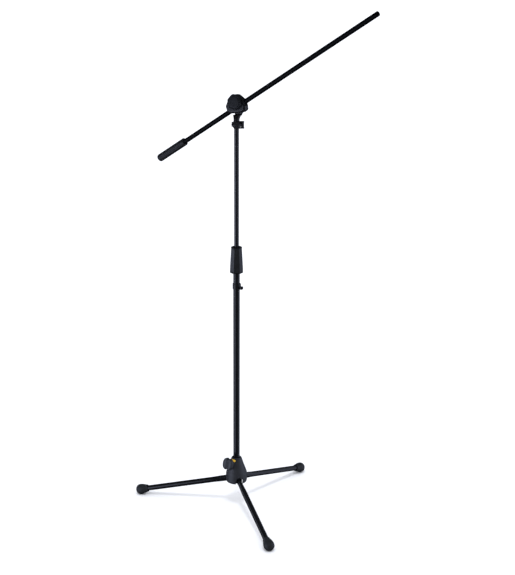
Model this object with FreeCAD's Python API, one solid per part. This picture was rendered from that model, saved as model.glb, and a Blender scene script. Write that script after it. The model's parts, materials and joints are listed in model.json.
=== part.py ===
"""Tripod boom microphone stand. Millimetres, +Z up, origin on the floor under the pole.

+X is the way the boom points. The boom tilts about an axis along Y.
"""
import FreeCAD, Part
import math
import os

V = FreeCAD.Vector
UP = V(0, 0, 1)

# ---- driving dimensions ----
RUN = 0.05                 # radial clearance of a running fit
GAP = 0.3                  # distance kept between parts that move past each other

# pole
LOWER_R = 11.1             # 7/8 inch tube
UPPER_R = 7.95             # 5/8 inch tube
TUBE_WALL = 1.2
LOWER_BOTTOM = 91.0
LOWER_TOP = 890.0
UPPER_BOTTOM = 776.0
UPPER_TOP = 1353.8

# hub and legs
HUB_TOP = 178.0
HUB_BOTTOM = 88.5
HUB_R = 37.0
HUB_WALL = 3.0
HUB_CORE_R = 15.3
HUB_CORE_BOTTOM = 92.0
BUSH_R = 12.6
LEG_AZIMUTHS = (201.8, 81.8, -38.2)
LEG_R = 9.5
PIVOT_RADIUS = 24.0
FOOT_RADIUS = 353.0        # from the pole to the middle of each foot
FOOT_BALL_R = 18.0
FOOT_Z = 17.4
LEG_AXIS_Z = 103.5         # where the leg's axis would meet the pole's
KNUCKLE_WIDTH = 13.6
PIN_R = 2.5
ARCH_R = 13.0
ARCH_TOP = 111.5
LOCK_AZIMUTH = 261.8
LOCK_SLOPE = 14.0          # the lock screw points up by this angle
LOCK_Z = 154.4             # where its axis meets the pole's
LOCK_KNOB_BACK = 37.5      # along the screw from the pole's axis
LOCK_KNOB_FACE = 52.5
SHOE_BOTTOM = 146.0
SHOE_TAB_BOTTOM = 166.0
SHOE_TOP = 175.2
SHOE_PAD_R = 13.2

# height clutch
CLUTCH_BOTTOM = 848.0
CLUTCH_TOP = 936.5
CLUTCH_RING = 3.2          # thickness of the plate at each end
CLUTCH_AZIMUTH = -55.7     # one flat of the grip faces this way

# fittings on the tubes
CLIP_BOTTOM = 791.5
CLIP_HEIGHT = 19.5
CLIP_AZIMUTH = 5.0
COLLAR_BOTTOM = 1330.0
COLLAR_HEIGHT = 23.5
COLLAR_AZIMUTH = 34.3      # the side that carries the lever's pin
FLANGE = 3.6               # thickness of the two plates that hold the pin
LEVER_X = 19.5             # the lever pin's distance from the pole's axis

# boom head
HEAD_Y = -1.0              # plane of the boom
CROSSING_Z = 1397.5        # where the boom's axis passes the pole's
PIVOT_X = 6.0
PIVOT_Z = 1416.7
BOOM_DROP = 13.25          # from the tilt axis down to the boom's axis
BOOM_TILT = 31.45
CLAMP_FRONT = -14.5
CLAMP_BACK = 9.0
PLATE_BACK = 14.3
BOLT_R = 3.5
WASHER_R = 10.0            # the friction washer between clamp and plate
KNOB_BACK = -15.5
KNOB_FRONT = -26.5

# boom, measured along it from the foot of the tilt axis
BOOM_R = 7.95
BOOM_FRONT = 570.4
BOOM_REAR = -386.7
GRIP_LENGTH = 128.0
GRIP_R = 13.0
TIP_LENGTH = 15.0
TIP_GROOVE = 1.5
THREAD_R = 7.94

LEG_SLOPE = math.degrees(math.atan((LEG_AXIS_Z - FOOT_Z) / FOOT_RADIUS))
PIVOT_HEIGHT = LEG_AXIS_Z - PIVOT_RADIUS * math.tan(math.radians(LEG_SLOPE))


# ---- helpers ----
def rod(radius, z0, z1):
    """A round bar on the Z axis."""
    return Part.makeCylinder(radius, z1 - z0, V(0, 0, z0))


def pipe(outer, inner, z0, z1):
    """A tube on the Z axis."""
    return rod(outer, z0, z1).cut(rod(inner, z0 - 1, z1 + 1))


def box(x0, x1, y0, y1, z0, z1):
    return Part.makeBox(x1 - x0, y1 - y0, z1 - z0, V(x0, y0, z0))


def across(radius, x, z, y0, y1):
    """A round bar along Y."""
    return Part.makeCylinder(radius, y1 - y0, V(x, y0, z), V(0, 1, 0))


def along_x(shape):
    """Lay a shape built on the Z axis along +X."""
    turned = shape.copy()
    turned.rotate(V(0, 0, 0), V(0, 1, 0), 90)
    return turned


def spun(points):
    """Turn a closed (radius, z) outline about the Z axis."""
    corners = [V(r, 0, z) for r, z in points]
    face = Part.Face(Part.makePolygon(corners + corners[:1]))
    return face.revolve(V(0, 0, 0), UP, 360)


def rounded_wire(points, radius):
    """A closed outline in the XZ plane whose corners are arcs of about the given radius."""
    count = len(points)
    corners = [V(x, 0, z) for x, z in points]
    arcs = []
    for i, corner in enumerate(corners):
        back = corners[i - 1] - corner
        ahead = corners[(i + 1) % count] - corner
        half = back.getAngle(ahead) / 2
        room = 0.45 * min(back.Length, ahead.Length)
        reach = min(radius / math.tan(half), room)
        back.normalize()
        ahead.normalize()
        middle = back + ahead
        middle.normalize()
        start = corner + back * reach
        end = corner + ahead * reach
        depth = reach / math.cos(half) - reach * math.tan(half)
        arcs.append((start, corner + middle * depth, end))
    edges = []
    for i, (start, middle, end) in enumerate(arcs):
        edges.append(Part.Arc(start, middle, end).toShape())
        edges.append(Part.LineSegment(end, arcs[(i + 1) % count][0]).toShape())
    return Part.Wire(edges)


def slab(points, radius, y0, y1):
    """A rounded outline in the XZ plane, y0 to y1 thick."""
    face = Part.Face(rounded_wire(points, radius))
    solid = face.extrude(V(0, y1 - y0, 0))
    solid.translate(V(0, y0, 0))
    return solid


def polygon(count, inner_radius, first):
    """Corners of a regular polygon by the distance to its flats and its first flat's angle."""
    corner_radius = inner_radius / math.cos(math.pi / count)
    angles = [math.radians(first + (i + 0.5) * 360 / count) for i in range(count)]
    return [(corner_radius * math.cos(a), corner_radius * math.sin(a)) for a in angles]


def standing(wire, z):
    """Turn an outline from the XZ plane to the XY plane and lift it to z."""
    laid = wire.copy()
    laid.rotate(V(0, 0, 0), V(1, 0, 0), -90)
    laid.translate(V(0, 0, z))
    return laid


def turned(shape, azimuth):
    """Turn a shape about the pole's axis."""
    copy = shape.copy()
    copy.rotate(V(0, 0, 0), UP, azimuth)
    return copy


def on_leg(shape, azimuth):
    """Place a shape built along +X from the pivot on one leg's line."""
    copy = shape.copy()
    copy.rotate(V(0, 0, 0), V(0, 1, 0), LEG_SLOPE)
    copy.translate(V(PIVOT_RADIUS, 0, PIVOT_HEIGHT))
    return turned(copy, azimuth)


def on_lock_axis(shape):
    """Place a shape built on +X from the pole's axis on the lock screw's line."""
    copy = shape.copy()
    copy.rotate(V(0, 0, 0), V(0, 1, 0), -LOCK_SLOPE)
    copy.translate(V(0, 0, LOCK_Z))
    return turned(copy, LOCK_AZIMUTH)


def on_boom(shape):
    """Place a shape built along +X, with the tilt axis BOOM_DROP above it, on the boom."""
    copy = shape.copy()
    copy.rotate(V(0, 0, BOOM_DROP), V(0, 1, 0), -BOOM_TILT)
    copy.translate(V(PIVOT_X, HEAD_Y, PIVOT_Z - BOOM_DROP))
    return copy


def on_head(shape):
    """Place a shape built about the point where the boom passes the pole."""
    copy = shape.copy()
    copy.translate(V(0, 0, CROSSING_Z))
    return copy


# ---- base ----
def hub_outline(inset):
    """Radius and height of the hub's outside, from the top down, moved in by inset."""
    return [
        (17.6 - inset, HUB_TOP - 1.2),
        (20.4 - inset, 168.5),
        (24.8 - inset, 155.0),
        (29.5 - inset, 142.5),
        (34.0 - inset, 130.0),
        (36.4 - inset, 122.5),
        (HUB_R - inset, 114.5),
        (HUB_R - inset, 98.0),
        (35.8 - inset, 92.5),
        (33.0 - inset, HUB_BOTTOM),
    ]


def hub_housing():
    outside = hub_outline(0)
    shell = spun([(0, HUB_TOP), (16.2, HUB_TOP)] + outside + [(0, HUB_BOTTOM)])
    boss = on_lock_axis(along_x(rod(9.0, 12.0, 31.0)))
    shell = shell.fuse(boss)
    cavity_top = 162.0
    inside = [(r, z) for r, z in hub_outline(HUB_WALL) if z < cavity_top]
    cavity = spun([(HUB_CORE_R, cavity_top - 4.0)] + inside + [(HUB_CORE_R, HUB_BOTTOM - 1)])
    shell = shell.cut(cavity)
    shell = shell.cut(pipe(HUB_CORE_R + 0.01, 0.5, HUB_BOTTOM - 1, HUB_CORE_BOTTOM))
    for azimuth in LEG_AZIMUTHS:
        shell = shell.fuse(turned(leg_lugs(), azimuth))
    for azimuth in LEG_AZIMUTHS:
        shell = shell.cut(turned(leg_opening(), azimuth))
    shell = shell.cut(rod(BUSH_R, HUB_BOTTOM - 2, HUB_TOP + 1))
    shell = shell.cut(on_lock_axis(along_x(rod(4.0, 10.0, 40.0))))
    shell = shell.cut(turned(shoe_blank(GAP / 2), LOCK_AZIMUTH))
    return shell.removeSplitter()


def leg_lugs():
    """The two cheeks beside one leg's hinge, joined to the hub's core."""
    outer_y = KNUCKLE_WIDTH / 2 + GAP + 3.0
    eye = across(8.5, PIVOT_RADIUS, PIVOT_HEIGHT, -outer_y, outer_y)
    web = box(HUB_CORE_R - 1.5, PIVOT_RADIUS, -outer_y, outer_y, HUB_CORE_BOTTOM, 126.0)
    web = web.fuse(box(PIVOT_RADIUS - 1, PIVOT_RADIUS + 8.5, -outer_y, outer_y, PIVOT_HEIGHT, 126.0))
    return eye.fuse(web)


def leg_opening():
    """Room for one leg's hinge end, its arch in the wall and its pin."""
    half_slot = KNUCKLE_WIDTH / 2 + GAP
    slot = box(HUB_CORE_R, HUB_R + 5, -half_slot, half_slot, HUB_BOTTOM - 5, ARCH_TOP)
    arch_z = ARCH_TOP - ARCH_R
    start = PIVOT_RADIUS + 9.6
    arch = along_x(rod(ARCH_R, start, HUB_R + 5))
    arch.translate(V(0, 0, arch_z))
    foot = box(PIVOT_RADIUS + 6, HUB_R + 5, -ARCH_R, ARCH_R, HUB_BOTTOM - 5, arch_z)
    pin = across(PIN_R, PIVOT_RADIUS, PIVOT_HEIGHT, -10.0, 10.0)
    return slot.fuse([arch, foot, pin])


def hub_bushing():
    bushing = pipe(BUSH_R, LOWER_R + RUN, HUB_CORE_BOTTOM, HUB_TOP - 4)
    return bushing.cut(turned(shoe_blank(GAP / 2), LOCK_AZIMUTH))


def shoe_blank(extra):
    """The yellow shoe at azimuth 0, grown by extra: a pad under the screw and a tab on top."""
    half = 10.2 + extra
    tab = pipe(21.0 + extra, LOWER_R + RUN, SHOE_TAB_BOTTOM - extra, SHOE_TOP + extra)
    pad = pipe(SHOE_PAD_R + extra, LOWER_R + RUN, SHOE_BOTTOM - extra, SHOE_TOP)
    return tab.fuse(pad).common(box(5, 30, -half, half, SHOE_BOTTOM - 5, SHOE_TOP + 5))


def clamp_shoe():
    """The shoe, its tab's face flush with the hub's slope."""
    slope = Part.makeCone(21.3, 18.3, SHOE_TOP - SHOE_TAB_BOTTOM, V(0, 0, SHOE_TAB_BOTTOM))
    slope = slope.fuse(rod(15.0, SHOE_BOTTOM, SHOE_TAB_BOTTOM))
    return turned(shoe_blank(0).common(slope).removeSplitter(), LOCK_AZIMUTH)


def leg_lock_screw():
    shank = along_x(rod(4.0 - RUN, SHOE_PAD_R + 1.8, LOCK_KNOB_FACE - 6))
    return on_lock_axis(shank)


def leg_lock_knob():
    """A winged knob: two tall ears on a round hub."""
    ear_r = 22.0
    half_width = 21.0
    valley = 1.4
    hub = along_x(rod(9.0, 31.0 + GAP, LOCK_KNOB_BACK + 6))
    ears = Part.makeCylinder(ear_r, LOCK_KNOB_FACE - LOCK_KNOB_BACK, V(LOCK_KNOB_BACK, 0, 0), V(1, 0, 0))
    ears = ears.common(box(LOCK_KNOB_BACK - 1, LOCK_KNOB_FACE + 1, -half_width, half_width, -ear_r, ear_r))
    notch = box(LOCK_KNOB_FACE - 4, LOCK_KNOB_FACE + 1, -valley, valley, -ear_r, ear_r)
    for side in (-1, 1):
        low, high = sorted((side * 14.0, side * (ear_r + 1)))
        notch = notch.fuse(box(LOCK_KNOB_BACK - 1, LOCK_KNOB_FACE + 1, -valley, valley, low, high))
    knob = hub.fuse(ears.cut(notch))
    knob = knob.cut(along_x(rod(4.0, 30.0, LOCK_KNOB_FACE - 6)))
    return on_lock_axis(knob.removeSplitter())


def leg_knuckle(azimuth):
    """The hinge end: an eye on the pin and a tongue inside the leg tube."""
    half = KNUCKLE_WIDTH / 2
    eye = across(7.5, 0, 0, -half, half)
    neck = box(0, 12.0, -half, half, -7.0, 7.0)
    tongue = box(11.0, 36.0, -4.8, 4.8, -5.8, 5.8)
    knuckle = eye.fuse([neck, tongue]).cut(across(PIN_R + RUN, 0, 0, -half - 1, half + 1))
    return on_leg(knuckle.removeSplitter(), azimuth)


def leg_pivot_pin(azimuth):
    half = KNUCKLE_WIDTH / 2 + GAP + 2.8
    return on_leg(across(PIN_R, 0, 0, -half, half), azimuth)


def oval(x, half_y, half_z):
    """An ellipse across +X, taller than it is wide."""
    curve = Part.Ellipse(V(x, 0, half_z), V(x, half_y, 0), V(x, 0, 0))
    return Part.Wire([curve.toShape()])


def leg_length():
    return math.hypot(FOOT_RADIUS - PIVOT_RADIUS, FOOT_Z - PIVOT_HEIGHT)


def leg_bar(inset, start, end):
    """A bar along +X: a tall oval pressed into its first stretch, then all but round."""
    oval_end = 34.0
    round_from = 66.0
    r = LEG_R - inset
    return Part.makeLoft([
        oval(start, 7.6 - inset, 10.9 - inset),
        oval(oval_end, 7.9 - inset, 10.7 - inset),
        oval(round_from, r - 0.02, r),
        oval(end, r - 0.02, r),
    ], True, True)


def leg_tube(azimuth):
    """A steel tube whose inner end is pressed to a tall oval."""
    start = 12.2
    outside = leg_bar(0, start, leg_length())
    inside = leg_bar(TUBE_WALL, start - 1, leg_length() - 6)
    return on_leg(outside.cut(inside), azimuth)


def rubber_foot(azimuth):
    """A barrel with a tapering neck over the tube's end, cut flat where it meets the floor."""
    end = leg_length()
    ball = Part.makeSphere(FOOT_BALL_R, V(end, 0, 0))
    neck = Part.makeCone(12.2, 17.2, 22.0, V(end - 27.0, 0, 0), V(1, 0, 0))
    lip = Part.makeCylinder(12.8, 3.0, V(end - 27.5, 0, 0), V(1, 0, 0))
    foot = ball.fuse([neck, lip])
    foot = foot.cut(along_x(rod(LEG_R, end - 40, end)))
    placed = on_leg(foot, azimuth)
    return placed.cut(Part.makeBox(1000, 1000, 20, V(-500, -500, -20))).removeSplitter()


# ---- pole ----
def pole_stopper():
    plug = rod(LOWER_R - TUBE_WALL, LOWER_BOTTOM, LOWER_BOTTOM + 25)
    flange = rod(13.2, LOWER_BOTTOM - 7, LOWER_BOTTOM)
    return flange.fuse(plug).removeSplitter()


def lower_tube():
    return pipe(LOWER_R, LOWER_R - TUBE_WALL, LOWER_BOTTOM, LOWER_TOP)


def upper_tube():
    return pipe(UPPER_R, UPPER_R - TUBE_WALL, UPPER_BOTTOM, UPPER_TOP)


def upper_tube_guide():
    """A plastic guide on the upper tube's lower end, running in the lower tube."""
    sleeve = pipe(LOWER_R - TUBE_WALL - RUN, UPPER_R, UPPER_BOTTOM, UPPER_BOTTOM + 30)
    cap = rod(LOWER_R - TUBE_WALL - RUN, UPPER_BOTTOM - 4, UPPER_BOTTOM)
    return sleeve.fuse(cap).removeSplitter()


def cable_clip():
    """A snap ring on the lower tube with a block on its side and a hook for a cable below."""
    top = CLIP_BOTTOM + CLIP_HEIGHT
    hook_x = 18.6
    hook_height = 9.5
    ring = pipe(13.3, LOWER_R + RUN, CLIP_BOTTOM, top)
    block = box(10.0, 14.8, -4.5, 4.5, CLIP_BOTTOM + hook_height, top - 0.6)
    hook = pipe(6.2, 3.6, CLIP_BOTTOM + 0.4, CLIP_BOTTOM + hook_height)
    hook.translate(V(hook_x, 0, 0))
    tip = box(hook_x + 2.6, hook_x + 5.2, -4.4, -2.1, CLIP_BOTTOM + 0.4, CLIP_BOTTOM + hook_height + 2.5)
    mouth = box(hook_x, hook_x + 10, -2.2, 2.2, CLIP_BOTTOM - 1, CLIP_BOTTOM + hook_height + 0.1)
    clip = ring.fuse([block, hook.cut(mouth), tip])
    clip = clip.cut(rod(LOWER_R + RUN, CLIP_BOTTOM - 1, top + 1))
    snap = turned(box(5, 16, -4.5, 4.5, CLIP_BOTTOM - 1, top + 1), 180)
    return turned(clip.cut(snap).removeSplitter(), CLIP_AZIMUTH)


# ---- height clutch ----
def hex_section(inner_radius, rounding, z):
    wire = rounded_wire(polygon(6, inner_radius, CLUTCH_AZIMUTH), rounding)
    return standing(wire, z)


def clutch_bushing():
    """The threaded insert fixed round the lower tube's mouth."""
    return pipe(13.6, LOWER_R, CLUTCH_BOTTOM + 4, LOWER_TOP)


def clutch_collet():
    """A split cone that closes on the upper tube."""
    collet = spun([(UPPER_R + RUN, LOWER_TOP + 0.2), (13.2, LOWER_TOP + 0.2),
                   (10.5, CLUTCH_TOP - 6), (UPPER_R + RUN, CLUTCH_TOP - 6)])
    for i in range(3):
        slit = turned(box(0, 20, -0.6, 0.6, LOWER_TOP + 8, CLUTCH_TOP), 120 * i)
        collet = collet.cut(slit)
    return collet


def clutch_sleeve():
    """The tapered hexagonal grip."""
    z0 = CLUTCH_BOTTOM + CLUTCH_RING
    z1 = CLUTCH_TOP - CLUTCH_RING
    body = Part.makeLoft([
        hex_section(19.9, 7.0, z0),
        hex_section(19.6, 7.0, z0 + 14),
        hex_section(18.4, 8.0, z0 + 45),
        hex_section(16.9, 8.5, z1 - 9),
        hex_section(16.6, 9.0, z1),
    ], True)
    bore = rod(13.6 + RUN, z0 - 1, LOWER_TOP + 0.1)
    taper = Part.makeCone(13.6, 10.9, CLUTCH_TOP - 6 - LOWER_TOP, V(0, 0, LOWER_TOP + 0.1))
    mouth = rod(UPPER_R + GAP, LOWER_TOP, CLUTCH_TOP + 1)
    return body.cut(bore).cut(taper).cut(mouth)


def hex_plate(inner_radius, rounding, bore_r, z0, z1):
    """A hexagonal end plate with a round hole."""
    plate = Part.Face(hex_section(inner_radius, rounding, z0)).extrude(V(0, 0, z1 - z0))
    return plate.cut(rod(bore_r, z0 - 1, z1 + 1))


def clutch_bottom_ring():
    return hex_plate(20.0, 6.0, LOWER_R + GAP, CLUTCH_BOTTOM, CLUTCH_BOTTOM + CLUTCH_RING)


def clutch_top_ring():
    return hex_plate(17.0, 7.0, UPPER_R + GAP, CLUTCH_TOP - CLUTCH_RING, CLUTCH_TOP)


# ---- swivel collar ----
def swivel_collar():
    """A double-cone clamp ring with two flanges that hold the lever's pin."""
    z0 = COLLAR_BOTTOM
    z1 = COLLAR_BOTTOM + COLLAR_HEIGHT
    ring = spun([(UPPER_R, z0), (9.0, z0), (10.0, z0 + 2), (16.6, z0 + 11), (16.8, z0 + 12.5),
                 (16.2, z0 + 14.5), (10.6, z1 - 1), (9.8, z1), (UPPER_R, z1)])
    parts = []
    for low in (z0, z1 - FLANGE):
        parts.append(box(6.0, LEVER_X, -6.0, 6.0, low, low + FLANGE))
        parts.append(Part.makeCylinder(6.0, FLANGE, V(LEVER_X, 0, low)))
    collar = ring.fuse(parts).cut(rod(UPPER_R, z0 - 1, z1 + 1))
    room = Part.makeCylinder(6.3, COLLAR_HEIGHT - 2 * FLANGE, V(LEVER_X, 0, z0 + FLANGE))
    split = box(5, LEVER_X, -0.7, 0.7, z0 + FLANGE, z1 - FLANGE)
    pin = Part.makeCylinder(2.0, COLLAR_HEIGHT + 2, V(LEVER_X, 0, z0 - 1))
    return turned(collar.cut(room).cut(split).cut(pin).removeSplitter(), COLLAR_AZIMUTH)


def collar_lever():
    """A cam barrel on the pin with a handle that wraps round the rear of the collar."""
    z0 = COLLAR_BOTTOM + FLANGE + GAP
    z1 = COLLAR_BOTTOM + COLLAR_HEIGHT - FLANGE - GAP
    inner_r = 17.2
    outer_r = 20.2
    barrel = Part.makeCylinder(5.0, z1 - z0, V(LEVER_X, 0, z0))
    bridge = box(LEVER_X - 5.0, LEVER_X, 0, 14.0, z0, z1).common(pipe(outer_r, inner_r, z0, z1))
    elbow = box(LEVER_X - 2.0, LEVER_X + 1.5, 0, 6.0, z0, z1)
    wrap = pipe(outer_r, inner_r, z0, z1)
    wrap = wrap.common(box(-16, LEVER_X, 2.0, 30, z0, z1))
    lever = barrel.fuse([bridge, elbow, wrap])
    lever = lever.cut(Part.makeCylinder(2.0 + RUN, 40, V(LEVER_X, 0, z0 - 10)))
    return turned(lever.removeSplitter(), COLLAR_AZIMUTH)


def collar_lever_pin():
    pin = Part.makeCylinder(2.0, COLLAR_HEIGHT, V(LEVER_X, 0, COLLAR_BOTTOM))
    return turned(pin, COLLAR_AZIMUTH)


# ---- boom head ----
def neck_section(half_x, half_y, y, z):
    points = [(half_x, half_y), (-half_x, half_y), (-half_x, -half_y), (half_x, -half_y)]
    wire = standing(rounded_wire(points, 0.96 * min(half_x, half_y)), z)
    wire.translate(V(0, y, 0))
    return wire


def head_stem():
    """The neck, a spigot in the upper tube and the plate the boom clamp turns against."""
    neck_foot = UPPER_TOP + 0.4 - CROSSING_Z
    neck = Part.makeLoft([
        neck_section(9.6, 9.6, 0.0, neck_foot),
        neck_section(9.5, 9.5, 0.4, neck_foot + 6),
        neck_section(11.2, 10.3, 2.0, -30.5),
        neck_section(13.6, 10.6, PLATE_BACK - 10.6, -24.5),
    ], True)
    front = CLAMP_BACK + GAP
    outline = [(27, 14), (29, 2), (24.5, -10), (14.5, -19), (12, -27), (-12, -27), (-14.5, -19), (-24.5, -10),
               (-29, 2), (-27, 14), (-12, 28), (0, 31)]
    plate = slab(outline, 9.0, front, PLATE_BACK)
    pivot_z = PIVOT_Z - CROSSING_Z
    boss = across(9.6, PIVOT_X, pivot_z, front, PLATE_BACK + 3.5)
    spigot_r = UPPER_R - TUBE_WALL - RUN
    spigot = rod(spigot_r, neck_foot - 46, neck_foot + 4)
    stem = neck.fuse([plate, boss, spigot]).cut(across(BOLT_R, PIVOT_X, pivot_z, 0, 30))
    return on_head(stem.removeSplitter())


def clamp_outline():
    """The clamp half's outline beside the boom, measured along the boom and up from it."""
    return [(-30, 31), (-45, 20), (-47.5, 4), (-38, -9), (-18, -18), (4, -26.5), (22, -25), (31, -12),
            (31, -3), (14, 31), (4, 38), (-10, 39)]


def bored(half):
    """Cut the boom's channel and the bolt's hole from a clamp half."""
    half = half.cut(along_x(rod(BOOM_R + 1.3, -60, 50)))
    return half.cut(across(BOLT_R + 0.2, 0, BOOM_DROP, -30, 30))


def boom_clamp_front():
    """The front half, with a broad chamfer round its face."""
    face_y = CLAMP_FRONT - HEAD_Y
    half = slab(clamp_outline(), 9.0, face_y, -0.4)
    rim = [edge for edge in half.Edges if all(abs(v.Point.y - face_y) < 0.01 for v in edge.Vertexes)]
    return on_boom(bored(half.makeChamfer(5.0, rim)))


def boom_clamp_rear():
    back_y = CLAMP_BACK - HEAD_Y
    half = bored(slab(clamp_outline(), 9.0, 0.4, back_y))
    recess = across(WASHER_R + 0.4, 0, BOOM_DROP, back_y - 1.5, 30)
    return on_boom(half.cut(recess))


def boom_liner(side):
    """A half-round liner between the clamp and the boom, front (-1) or rear (1)."""
    liner = along_x(pipe(BOOM_R + 1.3, BOOM_R + 0.08, -30, 24))
    half = box(-60, 60, 0.5, 20, -20, 20) if side > 0 else box(-60, 60, -20, -0.5, -20, 20)
    return on_boom(liner.common(half))


def friction_washer():
    back = CLAMP_BACK + GAP
    washer = across(WASHER_R, PIVOT_X, PIVOT_Z, back - 1.4, back)
    return washer.cut(across(BOLT_R + 0.3, PIVOT_X, PIVOT_Z, back - 5, back + 5))


def clamp_bolt():
    """A hexagon-head bolt put in from the rear."""
    head_y = PLATE_BACK + 3.5
    shank = across(BOLT_R - RUN, PIVOT_X, PIVOT_Z, KNOB_FRONT + 3, head_y + 1)
    head = slab(polygon(6, 6.5, 30), 0.4, head_y, head_y + 5.3)
    head.translate(V(PIVOT_X, 0, PIVOT_Z))
    return shank.fuse(head).removeSplitter()


def knob_washer():
    washer = across(11.0, PIVOT_X, PIVOT_Z, CLAMP_FRONT - 0.9, CLAMP_FRONT - 0.1)
    return washer.cut(across(BOLT_R + 0.2, PIVOT_X, PIVOT_Z, -30, 0))


def knob_section(inner_radius, rounding, y):
    wire = rounded_wire(polygon(6, inner_radius, -15), rounding)
    wire.translate(V(0, y, 0))
    return wire


def clamp_knob():
    """A rounded hexagonal hand knob, a little smaller at its face."""
    knob = Part.makeLoft([
        knob_section(22.4, 11.0, KNOB_BACK),
        knob_section(24.0, 11.5, KNOB_BACK - 2.2),
        knob_section(23.6, 11.5, KNOB_FRONT + 2.5),
        knob_section(21.4, 10.5, KNOB_FRONT),
    ], True)
    recess = slab(polygon(6, 18.6, -15), 9.0, KNOB_FRONT - 1, KNOB_FRONT + 1.5)
    knob = knob.cut(recess).cut(across(7.0, 0, 0, KNOB_FRONT + 1, 0))
    knob.translate(V(PIVOT_X, 0, PIVOT_Z))
    return knob


def knob_insert():
    insert = across(7.0, PIVOT_X, PIVOT_Z, KNOB_FRONT + 1.5, KNOB_BACK)
    return insert.cut(across(BOLT_R, PIVOT_X, PIVOT_Z, KNOB_FRONT + 2.6, 0))


def knob_cap():
    cap = slab(polygon(6, 18.5, -15), 9.0, KNOB_FRONT - 0.3, KNOB_FRONT + 1.5)
    cap.translate(V(PIVOT_X, 0, PIVOT_Z))
    return cap


# ---- boom ----
def boom_tube():
    start = BOOM_REAR + 2.0
    return on_boom(along_x(pipe(BOOM_R, BOOM_R - TUBE_WALL, start, BOOM_FRONT - TIP_LENGTH)))


def boom_thread_tip():
    """The threaded end that takes a microphone clip, plugged into the tube."""
    root = BOOM_FRONT - TIP_LENGTH
    stud = along_x(rod(THREAD_R, root + TIP_GROOVE, BOOM_FRONT - 1.0))
    nose = Part.makeCone(THREAD_R, THREAD_R - 1.0, 1.0, V(BOOM_FRONT - 1.0, 0, 0), V(1, 0, 0))
    groove = along_x(rod(THREAD_R - 0.9, root, root + TIP_GROOVE))
    plug = along_x(rod(BOOM_R - TUBE_WALL, root - 20, root))
    return on_boom(stud.fuse([nose, groove, plug]).removeSplitter())


def counterweight_core():
    return on_boom(along_x(rod(BOOM_R - TUBE_WALL, BOOM_REAR + 4, BOOM_REAR + GRIP_LENGTH + 20)))


def boom_handle():
    """The fluted rear grip, square at its shoulder and rounded at its end."""
    z0 = BOOM_REAR + 2.0
    z1 = BOOM_REAR + GRIP_LENGTH
    grip = spun([(BOOM_R, z0), (GRIP_R - 1.0, z0), (GRIP_R, z0 + 2.0), (GRIP_R, z1 - 1.5),
                 (GRIP_R - 1.5, z1), (BOOM_R, z1)])
    flutes = []
    count = 12
    for i in range(count):
        groove = rod(1.5, z0 + 12, z1 - 12)
        groove.translate(V(GRIP_R + 0.8, 0, 0))
        flutes.append(turned(groove, 360 * i / count))
    return on_boom(along_x(grip.cut(flutes)))


def handle_end_cap():
    cap = spun([(0, BOOM_REAR), (GRIP_R - 3.0, BOOM_REAR), (GRIP_R - 1.6, BOOM_REAR + 0.8),
                (GRIP_R - 1.0, BOOM_REAR + 2.0), (0, BOOM_REAR + 2.0)])
    return on_boom(along_x(cap))


def build():
    nodes = {
        "hub_housing": hub_housing(),
        "hub_bushing": hub_bushing(),
        "clamp_shoe": clamp_shoe(),
        "leg_lock_screw": leg_lock_screw(),
        "leg_lock_knob": leg_lock_knob(),
        "pole_stopper": pole_stopper(),
        "lower_tube": lower_tube(),
        "upper_tube": upper_tube(),
        "upper_tube_guide": upper_tube_guide(),
        "cable_clip": cable_clip(),
        "clutch_bushing": clutch_bushing(),
        "clutch_collet": clutch_collet(),
        "clutch_sleeve": clutch_sleeve(),
        "clutch_bottom_ring": clutch_bottom_ring(),
        "clutch_top_ring": clutch_top_ring(),
        "swivel_collar": swivel_collar(),
        "collar_lever": collar_lever(),
        "collar_lever_pin": collar_lever_pin(),
        "head_stem": head_stem(),
        "boom_clamp_front": boom_clamp_front(),
        "boom_clamp_rear": boom_clamp_rear(),
        "boom_liner_front": boom_liner(-1),
        "boom_liner_rear": boom_liner(1),
        "friction_washer": friction_washer(),
        "clamp_bolt": clamp_bolt(),
        "knob_washer": knob_washer(),
        "clamp_knob": clamp_knob(),
        "knob_insert": knob_insert(),
        "knob_cap": knob_cap(),
        "boom_tube": boom_tube(),
        "boom_thread_tip": boom_thread_tip(),
        "counterweight_core": counterweight_core(),
        "boom_handle": boom_handle(),
        "handle_end_cap": handle_end_cap(),
    }
    for number, azimuth in enumerate(LEG_AZIMUTHS, 1):
        nodes[f"leg_knuckle_{number}"] = leg_knuckle(azimuth)
        nodes[f"leg_pivot_pin_{number}"] = leg_pivot_pin(azimuth)
        nodes[f"leg_tube_{number}"] = leg_tube(azimuth)
        nodes[f"rubber_foot_{number}"] = rubber_foot(azimuth)
    return nodes


os.makedirs("parts", exist_ok=True)
for name, shape in build().items():
    shape.exportStep(f"parts/{name}.step")
    bounds = shape.BoundBox
    low = (round(bounds.XMin, 1), round(bounds.YMin, 1), round(bounds.ZMin, 1))
    high = (round(bounds.XMax, 1), round(bounds.YMax, 1), round(bounds.ZMax, 1))
    print(name, len(shape.Solids), shape.isValid(), round(shape.Volume), low, high)
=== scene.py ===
"""Looks of the tripod boom microphone stand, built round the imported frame.

Shapes are drawn in millimetres in a local frame of their own and placed by a matrix.
"""
import json
import math

import bmesh
import bpy
from mathutils import Matrix, Vector


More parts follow.
